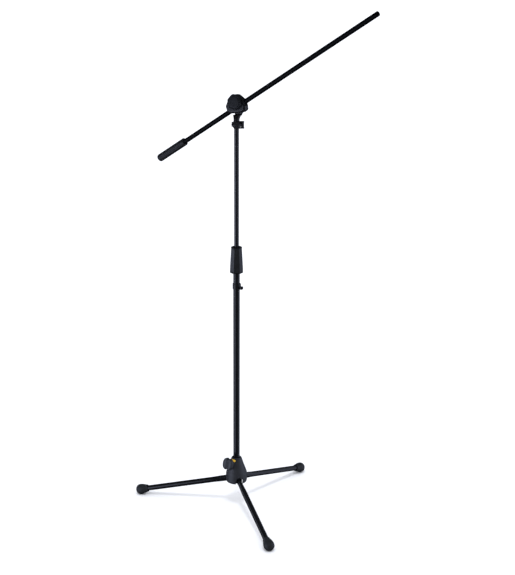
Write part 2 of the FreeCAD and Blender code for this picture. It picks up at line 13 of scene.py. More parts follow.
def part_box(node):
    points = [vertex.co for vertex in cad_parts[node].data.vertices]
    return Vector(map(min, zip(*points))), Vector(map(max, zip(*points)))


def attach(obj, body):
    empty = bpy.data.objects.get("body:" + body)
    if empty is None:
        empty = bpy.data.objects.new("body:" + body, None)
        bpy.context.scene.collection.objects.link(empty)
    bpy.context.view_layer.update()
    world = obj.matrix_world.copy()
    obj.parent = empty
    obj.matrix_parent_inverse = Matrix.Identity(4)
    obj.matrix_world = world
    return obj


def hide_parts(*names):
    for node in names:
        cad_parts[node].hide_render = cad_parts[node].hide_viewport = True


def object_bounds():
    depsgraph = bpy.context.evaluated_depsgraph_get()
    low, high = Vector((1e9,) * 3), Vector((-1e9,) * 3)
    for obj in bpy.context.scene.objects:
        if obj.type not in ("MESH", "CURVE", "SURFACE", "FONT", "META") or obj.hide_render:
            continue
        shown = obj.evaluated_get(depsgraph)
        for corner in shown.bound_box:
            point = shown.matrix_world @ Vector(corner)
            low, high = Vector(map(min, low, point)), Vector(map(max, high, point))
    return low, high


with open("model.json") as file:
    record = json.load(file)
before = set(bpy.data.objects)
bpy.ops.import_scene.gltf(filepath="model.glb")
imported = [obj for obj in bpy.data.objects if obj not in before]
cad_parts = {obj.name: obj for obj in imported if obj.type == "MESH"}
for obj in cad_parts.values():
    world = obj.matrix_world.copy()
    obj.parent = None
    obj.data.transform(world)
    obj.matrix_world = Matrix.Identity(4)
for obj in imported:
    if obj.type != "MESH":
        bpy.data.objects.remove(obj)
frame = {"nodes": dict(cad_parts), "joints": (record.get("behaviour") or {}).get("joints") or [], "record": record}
cad_low, cad_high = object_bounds()

# ---- driving dimensions, millimetres unless said otherwise ----
MM = 0.001                  # metres in a millimetre
TURN = 2 * math.pi
SMOOTH_STEPS = 6            # points on each rounded corner

# camera, degrees and metres
VIEW_AZIMUTH = 34.34
VIEW_DROP = 15.9
CAMERA_REACH = 3.646
CAMERA_HEIGHT = 1.8345
LENS = 70.65
CAMERA_SHIFT = 0.0365

# base
HUB_TOP = 178.0
HUB_BOTTOM = 88.5
HUB_R = 37.0
HUB_WALL = 3.0
HUB_CORE_R = 15.3
HUB_RIM = 1.4               # height of the crown's rounded rim
HUB_CEILING = 160.0         # top of the hollow under the bell
HUB_LIP = 0.5               # rounding of the lower edge
TUBE_HOLE_R = 12.6
ARCH_R = 13.0
ARCH_Z = 98.5
ARCH_REACH = HUB_R - 0.5    # distance from the pole at which an arch's width is measured
LEG_R = 9.5
LEG_START = 12.2            # from the hinge to the tube's inner end
LEG_WALL = 1.2
FOOT_Z = 17.4
FLAT_HEIGHT = 0.0001        # metres from the ground up to the feet's flats and down to the floor
KNUCKLE_WIDTH = 13.6
CHEEK_GAP = 0.3
CHEEK_WIDTH = 3.0
SHOE_Z = 170.4
EAR_HALF_WIDTH = 20.8
EAR_HALF_HEIGHT = 21.9
NOTCH_DEPTH = 0.2           # as a share of the ears' outline
NOTCH_WIDTH = 0.012
VALLEY_DEPTH = 3.2
VALLEY_WIDTH = 3.6
KNOB_NECK_R = 9.0
KNOB_BACK = 37.5
KNOB_FACE = 52.5

# tubes and boom
LOWER_R = 11.1
UPPER_R = 7.95
TUBE_WALL = 1.2
TUBE_EDGE = 0.25            # the broken edge at a tube's end
SLEEVE_FIRST_FLAT = -55.7   # degrees
HAND_KNOB_FIRST_FLAT = -15.0
BOOM_R = 7.95
GRIP_R = 13.0
GRIP_CAP = 2.0              # thickness of the end cap
GRIP_LENGTH = 126.0
GRIP_COLLAR = 12.0          # plain length at each end of the flutes
FLUTES = 12
FLUTE_DEPTH = 0.75
TIP_LENGTH = 15.0
THREAD_MOUNT_DEPTH = 7.25   # from the tip's end face to the thread's mount
THREAD_R = 7.94
THREAD_PITCH = 0.94
LOBE_START = 8.0            # where the clamp's lower lobe starts to slim, along the boom
LOBE_BLEND = 6.0
LOBE_TRIM = 0.34

# light: strengths in Blender's units, angles in degrees
FILL_STRENGTH = 1.06
BACKDROP_STRENGTH = 1.05
REFLECTED_STRENGTH = 0.03
SUN_STRENGTH = 0.9
SUN_SPREAD = 10.0
SUN_TILT = 23.3
SUN_SIDE = -3.5
CARD_DISTANCE = 2.4         # metres
CARD_COLOUR = (0.72, 0.78, 1.0, 1)
FLOOR_COLOUR = (0.905, 0.925, 0.985, 1)
FLOOR_SIZE = 60.0           # metres from the middle to an edge

record = frame["record"]
joints = {joint["name"]: joint for joint in frame["joints"]}
mounts = {mount["name"]: mount for mount in record["mounts"]}


# ---- places ----
def scaled(rotation, origin):
    """A matrix that takes local millimetres to the frame's metres."""
    return Matrix.Translation(origin) @ rotation.to_4x4() @ Matrix.Scale(MM, 4)


def axes(x, y, z):
    """A rotation whose columns are the three local axes."""
    return Matrix((x, y, z)).transposed()


def pole_frame():
    return scaled(Matrix.Identity(3), Vector())


def azimuth_frame(azimuth):
    """The pole's frame with X turned to an azimuth in radians."""
    return scaled(Matrix.Rotation(azimuth, 3, "Z"), Vector())


def azimuth_of(vector):
    return math.atan2(vector[1], vector[0])


def hinge_origin(name):
    return Vector(joints[name]["pos_m"])


def boom_frame():
    """X along the boom from the foot of the tilt axis, Y towards the rear."""
    x = Vector(mounts["boom_thread"]["axis"]).normalized()
    y = Vector((0, 1, 0))
    pivot = hinge_origin("boom_tilt")
    tip = Vector(mounts["boom_thread"]["pos_m"])
    return scaled(axes(x, y, x.cross(y)), tip + x * (pivot - tip).dot(x))


def tilt_frame():
    """The tilt axis seen from the front: X right, Y to the rear, Z up."""
    return scaled(Matrix.Identity(3), hinge_origin("boom_tilt"))


def leg_frame(number):
    """X from the leg's hinge along the leg, Z up across it."""
    pivot = hinge_origin(f"leg_fold_{number}")
    foot = Vector(mounts[f"foot_{number}"]["pos_m"]) + Vector((0, 0, FOOT_Z * MM))
    x = (foot - pivot).normalized()
    y = Vector((0, 0, 1)).cross(x).normalized()
    return scaled(axes(x, y, x.cross(y)), pivot)


def lock_frame():
    """X out along the lock screw, Y level, Z up."""
    x = Vector(joints["lock_knob_turn"]["axis"]).normalized()
    y = Vector((0, 0, 1)).cross(x).normalized()
    return scaled(axes(x, y, x.cross(y)), hinge_origin("lock_knob_turn"))


def along_x(matrix):
    """The same place for a shape drawn on Z: its Z becomes the local X."""
    return matrix @ axes(Vector((0, 0, -1)), Vector((0, 1, 0)), Vector((1, 0, 0))).to_4x4()


def facing_front(matrix):
    """The same place for a shape drawn on Z: its Z becomes the local -Y and its X stays."""
    return matrix @ axes(Vector((1, 0, 0)), Vector((0, 0, 1)), Vector((0, -1, 0))).to_4x4()


# ---- outlines ----
def rounded(points, radius, steps=SMOOTH_STEPS):
    """A closed outline with each corner replaced by an arc of about the given radius."""
    result = []
    count = len(points)
    for i in range(count):
        corner = Vector(points[i])
        back = Vector(points[i - 1]) - corner
        ahead = Vector(points[(i + 1) % count]) - corner
        half = back.angle(ahead) / 2
        reach = min(radius / math.tan(half), 0.47 * min(back.length, ahead.length))
        start = corner + back.normalized() * reach
        end = corner + ahead.normalized() * reach
        for k in range(steps + 1):
            t = k / steps
            result.append(start * (1 - t) ** 2 + corner * 2 * t * (1 - t) + end * t ** 2)
    return result


def smooth_line(points, steps):
    """A curve through the points, Catmull-Rom."""
    line = [Vector(p) for p in points]
    line = [line[0] * 2 - line[1]] + line + [line[-1] * 2 - line[-2]]
    result = []
    for a, b, c, d in zip(line, line[1:], line[2:], line[3:]):
        for k in range(steps):
            t = k / steps
            result.append(0.5 * (2 * b + (c - a) * t + (2 * a - 5 * b + 4 * c - d) * t ** 2
                                 + (3 * b - a - 3 * c + d) * t ** 3))
    result.append(line[-2])
    return result


def polygon(count, inner_radius, first):
    """Corners of a regular polygon by the distance to its flats and its first flat's angle."""
    corner_radius = inner_radius / math.cos(math.pi / count)
    angles = [first + (i + 0.5) * TURN / count for i in range(count)]
    return [(corner_radius * math.cos(a), corner_radius * math.sin(a)) for a in angles]


def inset(outline, distance):
    """The outline moved in by a distance, which is small beside its corners' radii."""
    count = len(outline)
    result = []
    for i, point in enumerate(outline):
        along = outline[(i + 1) % count] - outline[i - 1]
        if along.length < 1e-9:
            along = outline[(i + 2) % count] - outline[i - 2]
        normal = Vector((-along.y, along.x)).normalized()
        result.append(point + normal * distance)
    return result


def interpolate(line, z):
    """The x of a falling (x, z) line at height z."""
    for a, b in zip(line, line[1:]):
        if b.y <= z <= a.y and a.y > b.y:
            return a.x + (b.x - a.x) * (a.y - z) / (a.y - b.y)
    return line[0].x if z > line[0].y else line[-1].x


# ---- meshes ----
def finish_mesh(name, mesh_data, matrix, body, material, replaced, sharp=40):
    """Make one piece of a bmesh drawn in local millimetres."""
    bmesh.ops.remove_doubles(mesh_data, verts=mesh_data.verts, dist=1e-4)
    bmesh.ops.recalc_face_normals(mesh_data, faces=mesh_data.faces)
    mesh_data.transform(matrix)
    mesh = bpy.data.meshes.new(name)
    mesh_data.to_mesh(mesh)
    mesh_data.free()
    for face in mesh.polygons:
        face.use_smooth = True
    mesh.set_sharp_from_angle(angle=math.radians(sharp))
    mesh.materials.append(material)
    piece = bpy.data.objects.new(name, mesh)
    bpy.context.scene.collection.objects.link(piece)
    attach(piece, body)
    if replaced:
        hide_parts(*replaced)
    return piece


def add_rings(mesh_data, rings, first_cap=True, last_cap=True):
    """Join rings of equally many points by faces, and fill the first and the last."""
    rows = [[mesh_data.verts.new(p) for p in ring] for ring in rings]
    count = len(rows[0])
    for low, high in zip(rows, rows[1:]):
        for i in range(count):
            j = (i + 1) % count
            mesh_data.faces.new((low[i], low[j], high[j], high[i]))
    if first_cap:
        mesh_data.faces.new(rows[0])
    if last_cap:
        mesh_data.faces.new(rows[-1])


def circle(radius, z, segments=96):
    angles = [TURN * i / segments for i in range(segments)]
    return [Vector((radius * math.cos(a), radius * math.sin(a), z)) for a in angles]


def lathe_rings(profile, segments=96):
    return [circle(r, z, segments) for r, z in profile]


def add_lathe(mesh_data, profile, segments=96, closed=False):
    """Turn an (r, z) profile about Z; a closed profile is a ring with a hole."""
    rings = lathe_rings(profile, segments)
    if closed:
        add_rings(mesh_data, rings + rings[:1], False, False)
    else:
        add_rings(mesh_data, rings)


def add_slab(mesh_data, outline, low, high, edge, steps=4):
    """An XZ outline from y = low to y = high, with edges rounded by the edge radius."""
    levels = []
    for k in range(steps + 1):
        a = math.pi / 2 * k / steps
        levels.append((edge * (1 - math.sin(a)), low + edge * (1 - math.cos(a))))
    levels = levels + [(d, high + low - y) for d, y in reversed(levels)]
    rings = []
    for distance, y in levels:
        rings.append([Vector((p.x, y, p.y)) for p in inset(outline, distance)])
    add_rings(mesh_data, rings)


def softened_copy(name, node, voxel, passes, body, material):
    """A copy of a CAD node, remeshed and smoothed so that its edges are moulded ones."""
    source = frame["nodes"][node]
    mesh = source.data.copy()
    mesh.name = name
    mesh.materials.clear()
    mesh.materials.append(material)
    piece = bpy.data.objects.new(name, mesh)
    bpy.context.scene.collection.objects.link(piece)
    remesh = piece.modifiers.new("remesh", "REMESH")
    remesh.mode = "VOXEL"
    remesh.voxel_size = voxel * MM
    remesh.use_smooth_shade = True
    smooth = piece.modifiers.new("smooth", "SMOOTH")
    smooth.factor = 0.5
    smooth.iterations = passes
    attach(piece, body)
    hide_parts(node)
    return piece


# ---- materials ----
class Recipe:
    """A Principled material with helpers for procedural detail, in metres of the frame."""

    def __init__(self, name, roughness, metallic=0.0, specular=0.5):
        self.material = bpy.data.materials.new(name)
        self.material.use_nodes = True
        self.nodes = self.material.node_tree.nodes
        self.links = self.material.node_tree.links
        self.shader = self.nodes["Principled BSDF"]
        self.shader.inputs["Roughness"].default_value = roughness
        self.shader.inputs["Metallic"].default_value = metallic
        self.shader.inputs["Specular IOR Level"].default_value = specular
        self.place = self.nodes.new("ShaderNodeTexCoord").outputs["Object"]
        self.normal = None

    def stretched(self, scale):
        """Object coordinates scaled unevenly, for brushed or drawn surfaces."""
        mapping = self.nodes.new("ShaderNodeMapping")
        mapping.inputs["Scale"].default_value = scale
        self.links.new(self.place, mapping.inputs["Vector"])
        return mapping.outputs["Vector"]

    def noise(self, size, detail=3.0, roughness=0.55, vector=None):
        """Fractal noise whose features are about size millimetres wide."""
        node = self.nodes.new("ShaderNodeTexNoise")
        node.inputs["Scale"].default_value = 1 / (size * MM)
        node.inputs["Detail"].default_value = detail
        node.inputs["Roughness"].default_value = roughness
        self.links.new(vector or self.place, node.inputs["Vector"])
        return node.outputs["Fac"]

    def cells(self, size):
        node = self.nodes.new("ShaderNodeTexVoronoi")
        node.inputs["Scale"].default_value = 1 / (size * MM)
        self.links.new(self.place, node.inputs["Vector"])
        return node.outputs["Distance"]

    def spread(self, value, low, high, from_low=0.3, from_high=0.7):
        node = self.nodes.new("ShaderNodeMapRange")
        node.inputs["From Min"].default_value = from_low
        node.inputs["From Max"].default_value = from_high
        node.inputs["To Min"].default_value = low
        node.inputs["To Max"].default_value = high
        self.links.new(value, node.inputs["Value"])
        return node.outputs["Result"]

    def vary_roughness(self, value, low, high):
        self.links.new(self.spread(value, low, high), self.shader.inputs["Roughness"])

    def blend_colours(self, factor, first, second):
        node = self.nodes.new("ShaderNodeMix")
        node.data_type = "RGBA"
        self.links.new(factor, node.inputs["Factor"])
        for socket, colour in (("A", first), ("B", second)):
            target = [s for s in node.inputs if s.name == socket and s.type == "RGBA"][0]
            if isinstance(colour, tuple):
                target.default_value = (*colour, 1)
            else:
                self.links.new(colour, target)
        return [s for s in node.outputs if s.type == "RGBA"][0]

    def colour(self, output):
        self.links.new(output, self.shader.inputs["Base Color"])

    def bump(self, value, height):
        """Raise the surface by up to height millimetres."""
        node = self.nodes.new("ShaderNodeBump")
        node.inputs["Distance"].default_value = height * MM
        self.links.new(value, node.inputs["Height"])
        if self.normal:
            self.links.new(self.normal, node.inputs["Normal"])
        self.normal = node.outputs["Normal"]
        self.links.new(self.normal, self.shader.inputs["Normal"])

    def edges(self, low=0.52, high=0.6):
        """1 on worn outer edges, 0 elsewhere."""
        geometry = self.nodes.new("ShaderNodeNewGeometry")
        return self.spread(geometry.outputs["Pointiness"], 0.0, 1.0, low, high)


def powder_coat(name, roughness, colour, specular=0.5):
    """Black powder coat: a faint orange peel, a little dust and handling marks."""
    recipe = Recipe(name, roughness, specular=specular)
    light = tuple(c * 1.5 for c in colour)
    dust = recipe.noise(28.0, 5.0)
    recipe.colour(recipe.blend_colours(recipe.spread(dust, 0.0, 1.0), colour, light))
    marks = recipe.noise(9.0, 6.0, 0.7)
    recipe.vary_roughness(marks, roughness * 0.85, roughness * 1.25)
    recipe.bump(recipe.noise(1.4, 2.0), 0.004)
    recipe.bump(recipe.noise(0.3, 1.0), 0.0006)
    return recipe.material


def moulded(name, colour, roughness, grain=0.35, depth=0.004, wear=1.3, specular=0.5):
    """Moulded plastic: a fine spark-eroded grain, uneven sheen and paler worn edges."""
    recipe = Recipe(name, roughness, specular=specular)
    cloud = recipe.noise(14.0, 4.0)
    darker = tuple(c * 0.8 for c in colour)
    base = recipe.blend_colours(recipe.spread(cloud, 0.0, 1.0), darker, colour)
    worn = tuple(min(1.0, c * wear) for c in colour)
    recipe.colour(recipe.blend_colours(recipe.edges(), base, worn))
    recipe.vary_roughness(recipe.noise(5.0, 5.0), roughness * 0.88, roughness * 1.15)
    recipe.bump(recipe.cells(grain), depth)
    recipe.bump(recipe.noise(grain * 8, 3.0), depth * 1.5)
    return recipe.material


def cast_paint(name, colour, roughness):
    """Paint over a zinc casting, with the casting's slight ripple under it."""
    recipe = Recipe(name, roughness)
    cloud = recipe.noise(10.0, 4.0)
    light = tuple(c * 1.4 for c in colour)
    base = recipe.blend_colours(recipe.spread(cloud, 0.0, 1.0), colour, light)
    worn = tuple(c * 3 for c in colour)
    recipe.colour(recipe.blend_colours(recipe.edges(0.55, 0.68), base, worn))
    recipe.vary_roughness(recipe.noise(4.0, 5.0), roughness * 0.85, roughness * 1.2)
    recipe.bump(recipe.noise(3.0, 3.0), 0.006)
    recipe.bump(recipe.noise(0.4, 1.0), 0.001)
    return recipe.material


def rubber(name, colour, roughness):
    """Soft black rubber, dusty in places, with a faint pebbling."""
    recipe = Recipe(name, roughness, specular=0.35)
    dust = recipe.noise(6.0, 6.0, 0.65)
    pale = tuple(c * 1.8 + 0.004 for c in colour)
    recipe.colour(recipe.blend_colours(recipe.spread(dust, 0.0, 0.8), colour, pale))
    recipe.vary_roughness(recipe.noise(3.0, 4.0), roughness * 0.9, roughness * 1.1)
    recipe.bump(recipe.cells(0.6), 0.008)
    recipe.bump(recipe.noise(4.0, 3.0), 0.02)
    return recipe.material


def plated(name, colour, roughness):
    """Plated metal with fine turning marks."""
    recipe = Recipe(name, roughness, metallic=1.0)
    lines = recipe.noise(0.4, 2.0, vector=recipe.stretched((0.15, 1.0, 1.0)))
    darker = tuple(c * 0.6 for c in colour)
    cloud = recipe.spread(recipe.noise(6.0, 5.0), 0.0, 1.0)
    recipe.colour(recipe.blend_colours(cloud, darker, colour))
    recipe.vary_roughness(lines, roughness * 0.8, roughness * 1.3)
    recipe.bump(lines, 0.006)
    return recipe.material


def make_materials():
    return {
        "gloss_tube": powder_coat("gloss_tube", 0.16, (0.0030, 0.0034, 0.0046)),
        "satin_tube": powder_coat("satin_tube", 0.27, (0.0036, 0.0040, 0.0056)),
        "boom_tube": powder_coat("boom_tube", 0.3, (0.0012, 0.0014, 0.0020), 0.07),
        "hub": moulded("hub_plastic", (0.018, 0.0205, 0.0275), 0.45),
        "sleeve": moulded("sleeve_plastic", (0.009, 0.0102, 0.0135), 0.34, 0.3, 0.003),
        # real black parts, and also painted shade on the hub's cheeks under the bell
        "dark": moulded("black_plastic_and_painted_shade", (0.0032, 0.0036, 0.0048), 0.4, 0.3, 0.003, 2.0),
        "collar": moulded("collar_plastic", (0.0085, 0.0096, 0.013), 0.36, 0.3, 0.003),
        "knob": moulded("knob_plastic", (0.0062, 0.0072, 0.0100), 0.42, 0.3, 0.0012, specular=0.2),
        "wing": moulded("wing_plastic", (0.0165, 0.019, 0.0255), 0.42, 0.35, 0.004),
        "yellow": moulded("yellow_plastic", (0.86, 0.52, 0.05), 0.4, 0.4, 0.003, 1.05),
        "cast": cast_paint("cast_paint", (0.0030, 0.0035, 0.0050), 0.24),
        "rubber": rubber("foot_rubber", (0.0080, 0.0093, 0.0125), 0.5),
        "grip": rubber("grip_rubber", (0.0036, 0.0042, 0.0058), 0.42),
        "zinc": plated("dark_zinc", (0.16, 0.16, 0.165), 0.35),
        "black_steel": plated("black_steel", (0.035, 0.035, 0.038), 0.34),
        "brass": plated("turned_brass", (0.75, 0.55, 0.22), 0.28),
    }


def paint_cad_nodes(materials):
    """Give every CAD node the material of the part it is."""
    groups = {
        "gloss_tube": ["lower_tube", "leg_tube_1", "leg_tube_2", "leg_tube_3"],
        "satin_tube": ["upper_tube"],
        "boom_tube": ["boom_tube"],
        "hub": ["hub_housing"],
        "sleeve": ["clutch_sleeve"],
        "dark": ["clutch_bottom_ring", "clutch_top_ring", "cable_clip", "hub_bushing",
                 "upper_tube_guide", "clutch_collet", "boom_liner_front", "boom_liner_rear",
                 "pole_stopper", "leg_knuckle_1", "leg_knuckle_2", "leg_knuckle_3", "handle_end_cap"],
        "collar": ["swivel_collar", "collar_lever"],
        "knob": ["clamp_knob", "knob_cap"],
        "wing": ["leg_lock_knob"],
        "yellow": ["clamp_shoe"],
        "cast": ["head_stem", "boom_clamp_front", "boom_clamp_rear"],
        "rubber": ["rubber_foot_1", "rubber_foot_2", "rubber_foot_3", "friction_washer"],
        "grip": ["boom_handle"],
        "zinc": ["leg_lock_screw", "leg_pivot_pin_1", "leg_pivot_pin_2", "leg_pivot_pin_3",
                 "collar_lever_pin", "knob_washer", "counterweight_core", "clutch_bushing"],
        "black_steel": ["clamp_bolt", "boom_thread_tip"],
        "brass": ["knob_insert"],
    }
    for material, nodes in groups.items():
        for node in nodes:
            mesh = frame["nodes"][node].data
            mesh.materials.clear()
            mesh.materials.append(materials[material])


# ---- base ----
def hub_profile():
    """The hub's outer line from the top down, (radius, height)."""
    points = [(17.4, HUB_TOP - HUB_RIM), (18.2, 175.0), (20.4, 168.5), (24.8, 155.0), (29.5, 142.5),
              (34.0, 130.0), (36.4, 122.0), (HUB_R, 114.0), (HUB_R, 99.0), (36.4, 93.0),
              (35.0, HUB_BOTTOM)]
    return smooth_line(points, 6)


def hub_columns(cuts):
    """Angles round the hub, closer together at each cut's two sides."""
    angles = set()
    count = 144
    for i in range(count):
        angle = TURN * i / count
        near = [abs((angle - centre + math.pi) % TURN - math.pi) - half for centre, half in cuts]
        if all(abs(gap) > 0.7 * TURN / count for gap in near):
            angles.add(angle)
    for centre, half in cuts:
        for side in (-1, 1):
            for step in (-0.006, 0.0, 0.006):
                angles.add((centre + side * (half + step)) % TURN)
    return sorted(angles)


def hub_lower_edge(angle, leg_azimuths):
    """Height of the hub's lower edge: an arch over each leg."""
    for azimuth in leg_azimuths:
        away = abs((angle - azimuth + math.pi) % TURN - math.pi)
        across = ARCH_REACH * math.sin(min(away, math.pi / 2))
        if across < ARCH_R + 0.01:
            return ARCH_Z + math.sqrt(max(0.0, ARCH_R ** 2 - across ** 2))
    return HUB_BOTTOM


def hub_shell(materials):
    """The bell over the legs, a shell open below, with an arch over each leg."""
    legs = [azimuth_of(mounts[f"foot_{i}"]["pos_m"]) for i in (1, 2, 3)]
    line = hub_profile()
    leg_half = math.asin(ARCH_R / ARCH_REACH)
    columns = hub_columns([(a, leg_half) for a in legs])
    rows = 40
    top = HUB_TOP - HUB_RIM
    rings = []
    levels = [(0.0, k / rows) for k in range(rows + 1)]
    levels += [(HUB_LIP, 1.0), (HUB_WALL - HUB_LIP, 1.0)]
    levels += [(HUB_WALL, 1 - k / 12) for k in range(13)]
    for depth, fraction in levels:
        ring = []
        for angle in columns:
            start = HUB_CEILING if depth == HUB_WALL else top
            bottom = hub_lower_edge(angle, legs)
            z = start + (bottom - start) * fraction
            if depth in (0.0, HUB_WALL) and fraction == 1.0:
                z += 0.9 * HUB_LIP
            radius = interpolate(line, z) - depth
            ring.append(Vector((radius * math.cos(angle), radius * math.sin(angle), z)))
        rings.append(ring)

    def round_ring(radius, z):
        return [Vector((radius * math.cos(a), radius * math.sin(a), z)) for a in columns]

    rings.append(round_ring(HUB_CORE_R, HUB_CEILING - 2))
    crown = [round_ring(TUBE_HOLE_R, HUB_TOP - 0.6), round_ring(13.0, HUB_TOP),
             round_ring(16.2, HUB_TOP), round_ring(17.0, HUB_TOP - 0.5)]
    core_bottom = HUB_BOTTOM + 3.5
    core = [round_ring(HUB_CORE_R, core_bottom), round_ring(TUBE_HOLE_R, core_bottom)]
    mesh = bmesh.new()
    add_rings(mesh, [core[1]] + crown + rings + core, False, False)
    return finish_mesh("hub_shell", mesh, pole_frame(), "hub", materials["hub"],
                       ["hub_housing"], 50)


def squared_oval(angle, power):
    """A point of an oval with fuller corners: 1 is a circle, and a smaller power is squarer."""
    across = abs(math.cos(angle)) ** power * math.copysign(1, math.cos(angle))
    up = abs(math.sin(angle)) ** power * math.copysign(1, math.sin(angle))
    return across, up


def shoe_patch(name, width, tall, proud, material, replaced):
    """An oval pad laid on the hub's slope on the lock screw's side."""
    centre = azimuth_of(joints["lock_knob_turn"]["axis"])
    line = hub_profile()
    segments = 64
    rings = []
    for share, lift in ((1.0, -1.5), (1.0, proud - 0.35), (0.985, proud - 0.1), (0.95, proud),
                        (0.7, proud), (0.4, proud), (0.12, proud)):
        ring = []
        for i in range(segments):
            wide, high = squared_oval(TURN * i / segments, 0.75)
            z = SHOE_Z + tall / 2 * share * high
            radius = interpolate(line, z) + lift
            angle = centre + width / 2 * share * wide / radius
            ring.append(Vector((radius * math.cos(angle), radius * math.sin(angle), z)))
        rings.append(ring)
    mesh = bmesh.new()
    add_rings(mesh, rings)
    return finish_mesh(name, mesh, pole_frame(), "hub", material, replaced, 50)


def hub_shoe(materials):
    """The yellow pad and the dark seam round it."""
    shoe_patch("shoe_seam", 24.5, 10.2, 0.06, materials["dark"], None)
    shoe_patch("shoe_pad", 22.6, 8.6, 0.35, materials["yellow"], ["clamp_shoe"])


def hub_boss(materials):
    """The boss that the lock screw goes through, with its rounded rim."""
    mesh = bmesh.new()
    profile = [(4.2, 13.0), (4.2, 31.0), (8.0, 31.0), (8.7, 30.7), (9.0, 30.0), (9.0, 26.0),
               (9.6, 22.0), (11.0, 13.0)]
    add_lathe(mesh, profile, 64, True)
    return finish_mesh("hub_lock_boss", mesh, along_x(lock_frame()), "hub",
                       materials["hub"], ["hub_housing"])


def hub_cheeks(materials):
    """The pairs of cheeks that hold the legs' pins, joined to the hub's core; drawn in the darker black plastic,
    not the hub's own, as painted shade in the hollow under the bell.
    """
    corners = [(13.6, 92.2), (24.0, 89.2), (31.8, 91.0), (32.3, 122.0), (29.0, 128.0), (13.6, 130.0)]
    outline = rounded(corners, 4.0)[::-1]
    for number in (1, 2, 3):
        place = azimuth_frame(azimuth_of(mounts[f"foot_{number}"]["pos_m"]))
        for side, sign in (("left", 1), ("right", -1)):
            near = KNUCKLE_WIDTH / 2 + CHEEK_GAP
            low, high = sorted((sign * near, sign * (near + CHEEK_WIDTH)))
            mesh = bmesh.new()
            add_slab(mesh, outline, low, high, 0.5)
            # painted shade: the darker black material makes the hollow under the bell read dark
            finish_mesh(f"hub_cheek_{number}_{side}", mesh, place, "hub",
                        materials["dark"], ["hub_housing"])


def oval_ring(x, half_y, half_z, segments):
    """A ring of points across the local X axis."""
    angles = [TURN * i / segments for i in range(segments)]
    return [Vector((x, half_y * math.cos(a), half_z * math.sin(a))) for a in angles]


def lock_knob(materials):
    """Two tall rounded ears on a neck, with a valley between them."""
    back = KNOB_BACK
    face = KNOB_FACE
    segments = 96
    mesh = bmesh.new()

    def edge(angle, scale):
        """A rim point: a rounded outline with a notch at its top and bottom."""
        notch = NOTCH_DEPTH * math.exp(-((abs(math.sin(angle)) - 1) / NOTCH_WIDTH) ** 2 / 2)
        wide, high = squared_oval(angle, 0.85)
        reach = (1 - notch) * scale
        return EAR_HALF_WIDTH * reach * wide, EAR_HALF_HEIGHT * reach * high

    def valley(y):
        """How far the face falls back between the ears."""
        return VALLEY_DEPTH * math.exp(-(y / VALLEY_WIDTH) ** 2)

    levels = [(0.43, back + 0.3, 0), (0.75, back + 0.2, 0.1), (0.92, back + 1.0, 0.2),
              (0.985, back + 3.0, 0.3), (1.0, back + 6.0, 0.5), (0.995, face - 4.5, 0.8),
              (0.965, face - 2.2, 0.9), (0.9, face - 0.8, 1), (0.8, face - 0.2, 1), (0.6, face, 1),
              (0.4, face, 1), (0.2, face, 1), (0.06, face, 1)]
    rings = [oval_ring(x, KNOB_NECK_R, KNOB_NECK_R, segments) for x in (31.4, back - 1.2)]
    for scale, x, share in levels:
        ring = []
        for i in range(segments):
            y, z = edge(TURN * i / segments, scale)
            ring.append(Vector((x - share * valley(y), y, z)))
        rings.append(ring)
    add_rings(mesh, rings)
    return finish_mesh("lock_knob", mesh, lock_frame(), "leg_lock", materials["wing"],
                       ["leg_lock_knob"], 60)


def leg_tube(number, materials):
    """A tube, open and pressed to a tall oval at its inner end."""
    start = LEG_START
    foot = Vector(mounts[f"foot_{number}"]["pos_m"]) / MM
    pivot = hinge_origin(f"leg_fold_{number}") / MM
    length = (foot + Vector((0, 0, FOOT_Z)) - pivot).length
    half_y = 7.6
    half_z = 10.9
    edge = 0.3
    stations = [(start, half_y, half_z), (start + 12, 7.7, 10.85), (34.0, 7.9, 10.7),
                (44.0, 8.35, 10.3), (54.0, 8.95, 9.85), (66.0, LEG_R, LEG_R), (110.0, LEG_R, LEG_R),
                (length, LEG_R, LEG_R)]
    widths = smooth_line([(x, y) for x, y, z in stations], 5)
    heights = smooth_line([(x, z) for x, y, z in stations], 5)

    def ring(x, y, z):
        return oval_ring(x, y, z, 64)

    bore = ((60.0, 9.2, 9.7), (34.0, 7.9, 10.7), (start + 0.4, half_y, half_z))
    inner = [ring(x, y - LEG_WALL, z - LEG_WALL) for x, y, z in bore]
    rim = [ring(start, half_y - LEG_WALL + edge, half_z - LEG_WALL + edge),
           ring(start, half_y - edge, half_z - edge)]
    outer = [ring(p.x, p.y, q.y) for p, q in zip(widths, heights)]
    outer[0] = ring(start + edge, half_y, half_z)
    mesh = bmesh.new()
    add_rings(mesh, inner + rim + outer)
    return finish_mesh(f"leg_tube_{number}_drawn", mesh, leg_frame(number), f"leg_{number}",
                       materials["gloss_tube"], [f"leg_tube_{number}"], 60)


def rubber_foot(number, materials):
    """A bulb with a neck, worn flat where it stands."""
    foot = Vector(mounts[f"foot_{number}"]["pos_m"]) / MM
    pivot = hinge_origin(f"leg_fold_{number}") / MM
    end = (foot + Vector((0, 0, FOOT_Z)) - pivot).length
    mouth = [(9.6, -24.0), (9.6, -27.0), (10.2, -27.5), (12.0, -27.5)]
    bulb = smooth_line([(12.5, -27.3), (12.8, -25.5), (13.2, -23.0), (15.0, -17.0), (16.9, -10.0),
                        (17.9, -3.0), (17.9, 2.0), (17.0, 7.0), (14.6, 11.4), (10.4, 15.0),
                        (5.2, 17.2), (0.8, 17.9)], 5)
    mesh = bmesh.new()
    rings = lathe_rings([(radius, end + along) for radius, along in mouth + [tuple(p) for p in bulb]])
    add_rings(mesh, rings, False, True)
    place = along_x(leg_frame(number))
    mesh.transform(place)
    for vertex in mesh.verts:
        if vertex.co.z < 2 * FLAT_HEIGHT:
            vertex.co.z = FLAT_HEIGHT
    return finish_mesh(f"rubber_foot_{number}_moulded", mesh, Matrix.Identity(4), f"leg_{number}",
                       materials["rubber"], [f"rubber_foot_{number}"], 60)


